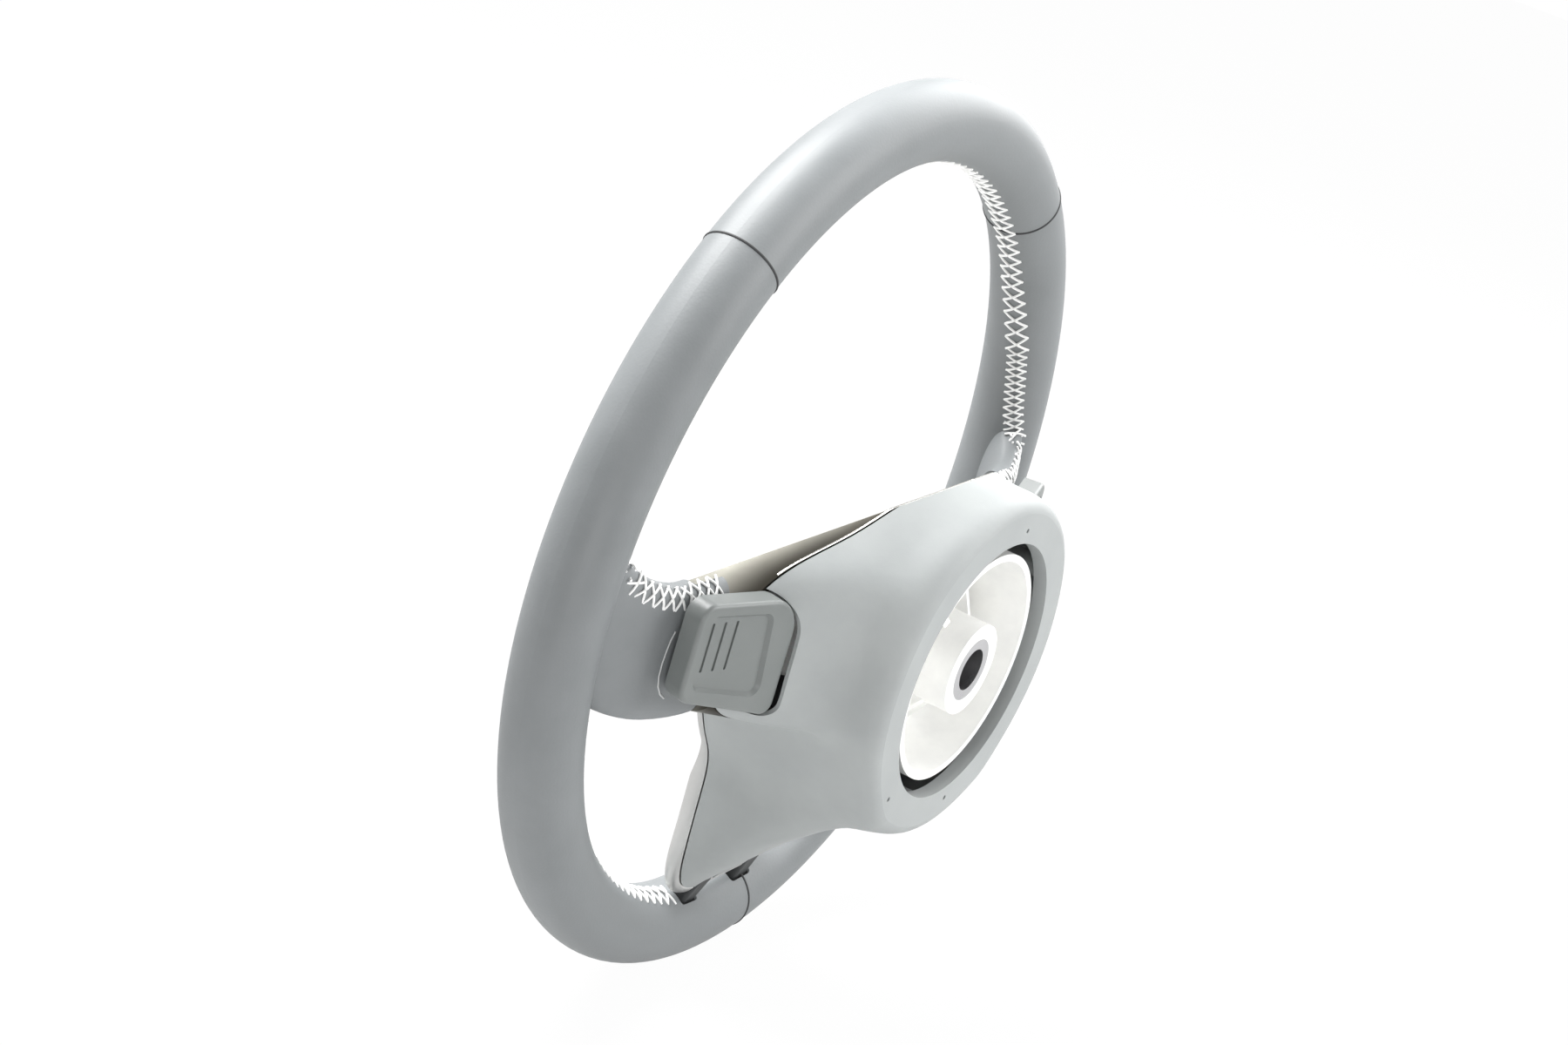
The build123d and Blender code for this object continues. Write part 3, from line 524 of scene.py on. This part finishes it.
def stitch_tree():
    tree = bpy.data.node_groups.new("crossed_stitches", "GeometryNodeTree")
    face = tree.interface
    face.new_socket("Places", in_out="INPUT", socket_type="NodeSocketGeometry")
    for name, value in (("Length", 0.0066), ("Width", 0.0098), ("Crown", 0.0005), ("Sink", 0.0008),
                        ("Thread Radius", 0.00058)):
        face.new_socket(name, in_out="INPUT", socket_type="NodeSocketFloat").default_value = value
    face.new_socket("Thread", in_out="INPUT", socket_type="NodeSocketMaterial")
    face.new_socket("Stitches", in_out="OUTPUT", socket_type="NodeSocketGeometry")
    nodes, links = tree.nodes, tree.links
    given = nodes.new("NodeGroupInput")
    result = nodes.new("NodeGroupOutput")

    def half(name, sign):
        node = nodes.new("ShaderNodeMath")
        node.operation = "MULTIPLY"
        node.inputs[1].default_value = sign * 0.5
        links.new(given.outputs[name], node.inputs[0])
        return node.outputs[0]

    ends = {("Length", s): half("Length", s) for s in (1, -1)}
    ends.update({("Width", s): half("Width", s) for s in (1, -1)})
    section = nodes.new("GeometryNodeCurvePrimitiveCircle")
    section.inputs["Resolution"].default_value = THREAD_SIDES
    links.new(given.outputs["Thread Radius"], section.inputs["Radius"])
    crown = nodes.new("ShaderNodeMath")
    crown.operation = "MULTIPLY_ADD"
    crown.inputs[1].default_value = 2.0
    links.new(given.outputs["Crown"], crown.inputs[0])
    links.new(given.outputs["Sink"], crown.inputs[2])
    sink = nodes.new("ShaderNodeMath")
    sink.operation = "MULTIPLY"
    sink.inputs[1].default_value = -1.0
    links.new(given.outputs["Sink"], sink.inputs[0])
    pair = nodes.new("GeometryNodeJoinGeometry")
    for lean in (1, -1):
        start = nodes.new("ShaderNodeCombineXYZ")
        links.new(ends[("Length", -1)], start.inputs["X"])
        links.new(ends[("Width", -lean)], start.inputs["Y"])
        links.new(sink.outputs[0], start.inputs["Z"])
        middle = nodes.new("ShaderNodeCombineXYZ")
        links.new(crown.outputs[0], middle.inputs["Z"])
        end = nodes.new("ShaderNodeCombineXYZ")
        links.new(ends[("Length", 1)], end.inputs["X"])
        links.new(ends[("Width", lean)], end.inputs["Y"])
        links.new(sink.outputs[0], end.inputs["Z"])
        thread = nodes.new("GeometryNodeCurveQuadraticBezier")
        thread.inputs["Resolution"].default_value = THREAD_BENDS
        for point, name in ((start, "Start"), (middle, "Middle"), (end, "End")):
            links.new(point.outputs["Vector"], thread.inputs[name])
        tube = nodes.new("GeometryNodeCurveToMesh")
        tube.inputs["Fill Caps"].default_value = True
        links.new(thread.outputs["Curve"], tube.inputs["Curve"])
        links.new(section.outputs["Curve"], tube.inputs["Profile Curve"])
        links.new(tube.outputs["Mesh"], pair.inputs["Geometry"])

    rotation = None
    for axis, pivot, attribute in (("Z", "AUTO", "outward"), ("X", "Z", "along")):
        arrow = nodes.new("GeometryNodeInputNamedAttribute")
        arrow.data_type = "FLOAT_VECTOR"
        arrow.inputs["Name"].default_value = attribute
        align = nodes.new("FunctionNodeAlignRotationToVector")
        align.axis = axis
        align.pivot_axis = pivot
        links.new(arrow.outputs["Attribute"], align.inputs["Vector"])
        if rotation:
            links.new(rotation, align.inputs["Rotation"])
        rotation = align.outputs["Rotation"]
    set_out = nodes.new("GeometryNodeInstanceOnPoints")
    links.new(given.outputs["Places"], set_out.inputs["Points"])
    links.new(pair.outputs["Geometry"], set_out.inputs["Instance"])
    links.new(rotation, set_out.inputs["Rotation"])
    end_tree(tree, set_out.outputs["Instances"], given.outputs["Thread"], result.inputs["Stitches"])
    return tree


STITCH_TREE = stitch_tree()
print("tree", STITCH_TREE.name, "with", len(STITCH_TREE.nodes), "nodes")

# %% [markdown]
# The thread is thick waxed polyester: white, a little uneven, with a soft shine.
# What the tree makes of each row is kept as a plain mesh, because only real faces go on to other programs.

# %% sew the rows
THREAD = finish("waxed_thread", (0.80, 0.80, 0.79), (0.90, 0.90, 0.89), (0.45, 0.6), 3000.0, tone=200.0,
                stretch=(1, 1, 3), bump=0.3)


def socket_named(tree, name):
    """Identifier of one of a tree's inputs."""
    return next(item.identifier for item in tree.interface.items_tree
                if item.item_type == "SOCKET" and item.in_out == "INPUT" and item.name == name)


def grow(name, mesh, tree, inputs):
    """What a tree makes of a mesh, as a new object with a mesh of its own."""
    marks = bpy.data.objects.new(mesh.name, mesh)
    scene.collection.objects.link(marks)
    maker = marks.modifiers.new("maker", "NODES")
    maker.node_group = tree
    for socket, value in inputs.items():
        maker[socket_named(tree, socket)] = value
    seen = marks.evaluated_get(bpy.context.evaluated_depsgraph_get())
    made = bpy.data.objects.new(name, bpy.data.meshes.new_from_object(seen))
    scene.collection.objects.link(made)
    bpy.data.objects.remove(marks)
    return made


def sew(name, places, **sizes):
    """Set stitches on places, with any sizes that differ from the tree's own."""
    mesh = bpy.data.meshes.new(name + "_places")
    mesh.from_pydata([place for place, _, _ in places], [], [])
    for attribute, column in (("along", 1), ("outward", 2)):
        arrows = mesh.attributes.new(attribute, "FLOAT_VECTOR", "POINT")
        for item, place in zip(arrows.data, places):
            item.vector = place[column]
    inputs = {size.replace("_", " "): value for size, value in sizes.items()}
    return grow(name, mesh, STITCH_TREE, {"Thread": THREAD, **inputs})


rows = [
    sew("rim_stitching", rim_places),
    sew("bend_stitching", bend_places, Length=0.0040, Width=0.0086, Thread_Radius=0.0005),
    sew("root_stitching", root_places, Length=0.0049, Width=0.0088, Thread_Radius=0.0005),
]
for row in rows:
    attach(row, "wheel")
    print(row.name, "has", len(row.data.polygons), "faces")

# %% [markdown]
# Some fine lines catch the eye: a polished bead along the trim's parting, a dark cord in each seam
# of the leather and, beside each paddle, a thin lip in a groove whose shade is painted.
# All are round bars, so one small tree serves: it turns a line of edges into a bar of a given radius.

# %% bar tree
BAR_SIDES = 12


def bar_tree():
    tree = bpy.data.node_groups.new("round_bar", "GeometryNodeTree")
    face = tree.interface
    face.new_socket("Line", in_out="INPUT", socket_type="NodeSocketGeometry")
    face.new_socket("Radius", in_out="INPUT", socket_type="NodeSocketFloat").default_value = 0.001
    face.new_socket("Paint", in_out="INPUT", socket_type="NodeSocketMaterial")
    face.new_socket("Bar", in_out="OUTPUT", socket_type="NodeSocketGeometry")
    nodes, links = tree.nodes, tree.links
    given = nodes.new("NodeGroupInput")
    result = nodes.new("NodeGroupOutput")
    line = nodes.new("GeometryNodeMeshToCurve")
    links.new(given.outputs["Line"], line.inputs["Mesh"])
    section = nodes.new("GeometryNodeCurvePrimitiveCircle")
    section.inputs["Resolution"].default_value = BAR_SIDES
    links.new(given.outputs["Radius"], section.inputs["Radius"])
    bar = nodes.new("GeometryNodeCurveToMesh")
    bar.inputs["Fill Caps"].default_value = True
    links.new(line.outputs["Curve"], bar.inputs["Curve"])
    links.new(section.outputs["Curve"], bar.inputs["Profile Curve"])
    end_tree(tree, bar.outputs["Mesh"], given.outputs["Paint"], result.inputs["Bar"])
    return tree


BAR_TREE = bar_tree()
print("tree", BAR_TREE.name, "with", len(BAR_TREE.nodes), "nodes")


def draw_bars(name, lines, radius, paint, closed=False):
    """Round bars along lines of places, kept as one plain mesh on the wheel."""
    places, edges = [], []
    for line in lines:
        first = len(places)
        places += line
        edges += [(i, i + 1) for i in range(first, len(places) - 1)]
        if closed:
            edges.append((len(places) - 1, first))
    mesh = bpy.data.meshes.new(name + "_line")
    mesh.from_pydata(places, edges, [])
    made = grow(name, mesh, BAR_TREE, {"Radius": radius, "Paint": paint})
    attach(made, "wheel")
    print(name, "has", len(made.data.polygons), "faces")


# %% [markdown]
# The bead's line is found on the trim by casting rays straight down just in front of the parting,
# so it lies on the trim wherever the trim curves.

# %% polished bead of the trim
BEAD_RADIUS = 0.00045
BEAD_REACH = 0.096
BEAD_STEPS = 160
CAST_HEIGHT = 0.2
BEAD_METAL = finish("polished_bead", (0.50, 0.49, 0.46), (0.58, 0.57, 0.54), (0.20, 0.28), 2200.0,
                    fixed=(("Metallic", 1.0),))


def bead_line():
    """Places along the trim's rear edge, found from above."""
    mesh = frame["nodes"]["spoke_trim"].data
    corners = [v.co.copy() for v in mesh.vertices]
    trim = BVHTree.FromPolygons(corners, [tuple(p.vertices) for p in mesh.polygons])
    line = []
    for step in range(BEAD_STEPS + 1):
        x = BEAD_REACH * (2 * step / BEAD_STEPS - 1)
        y = PARTING_PEAK - PARTING_SLOPE * abs(x) - BEAD_RADIUS
        place = trim.ray_cast(Vector((x, y, CAST_HEIGHT)), Vector((0.0, 0.0, -1.0)))[0]
        if place is not None:
            line.append(place)
    return line


draw_bars("trim_bead", [bead_line()], BEAD_RADIUS, BEAD_METAL)

# %% [markdown]
# A seam cord is a ring round the grip, sunk into the groove between two pieces of leather.
# The grip is round there, so a circle of places at one angle is enough.

# %% seam cords
SEAM_CLOCKS = (42.3, -42.3, 187.8)
CORD_RADIUS = 0.0006
CORD_SINK = 0.0002
CORD_STEPS = 96
CORD = finish("seam_cord", (0.020, 0.021, 0.022), (0.032, 0.033, 0.034), (0.6, 0.75), 3000.0, bump=0.3)


def seam_ring(clock):
    """Places round the grip at an angle from twelve o'clock."""
    turn = math.radians(clock)
    out = Vector((math.sin(turn), 0.0, math.cos(turn)))
    middle = RIM_CENTRE + out * RIM_RADIUS
    ring = []
    for step in range(CORD_STEPS):
        lean = 2 * math.pi * step / CORD_STEPS
        outward = out * math.cos(lean) + Vector((0.0, math.sin(lean), 0.0))
        ring.append(middle + outward * (GRIP_RADIUS - CORD_SINK))
    return ring


draw_bars("seam_cords", [seam_ring(clock) for clock in SEAM_CLOCKS], CORD_RADIUS, CORD,
          closed=True)

# %% [markdown]
# The groove beside a paddle follows the leather of the spoke root.
# It could be cut, but the leather's own mesh stays as it is, so two bars are laid into it instead.
# The groove's shade is painted: the top of a sunk black bar stands for it, and the lip is a thinner bar
# along the middle.
# Both stay low, because the pulled paddle comes close to them.
# The points of the line come from the photograph and were carried to the leather, as on the spoke root.

# %% grooves beside the paddles
LIP_KEYS = ((0.1367, -0.0437, 0.0187), (0.1377, -0.0439, 0.0153), (0.1383, -0.0440, 0.0108),
            (0.1387, -0.0441, 0.0058), (0.1385, -0.0441, 0.0008), (0.1374, -0.0439, -0.0036),
            (0.1353, -0.0433, -0.0070), (0.1326, -0.0424, -0.0091))
LIP_RADIUS = 0.0004
LIP_RISE = -0.0001
SHADE_BAR_RADIUS = 0.005
SHADE_BAR_RISE = -0.0049
GROOVE_SKIP = 8
LIP_PLASTIC = finish("lip_satin", (0.38, 0.39, 0.39), (0.46, 0.47, 0.47), (0.3, 0.4), 1800.0)


def groove_line(side, rise):
    """Places on the leather along the groove, moved out by a rise."""
    line = []
    for x, y, z in between(LIP_KEYS):
        place, outward = SKIN.find_nearest(Vector((side * x, y, z)))[:2]
        line.append(place + outward * rise)
    return line[::GROOVE_SKIP]


# Painted shade: a sunk black bar darkens the groove's bed beside each paddle.
draw_bars("groove_shade_bars", [groove_line(side, SHADE_BAR_RISE) for side in (1, -1)], SHADE_BAR_RADIUS,
          FINISHES["black_plastic"])
draw_bars("groove_lips", [groove_line(side, LIP_RISE) for side in (1, -1)], LIP_RADIUS,
          LIP_PLASTIC)
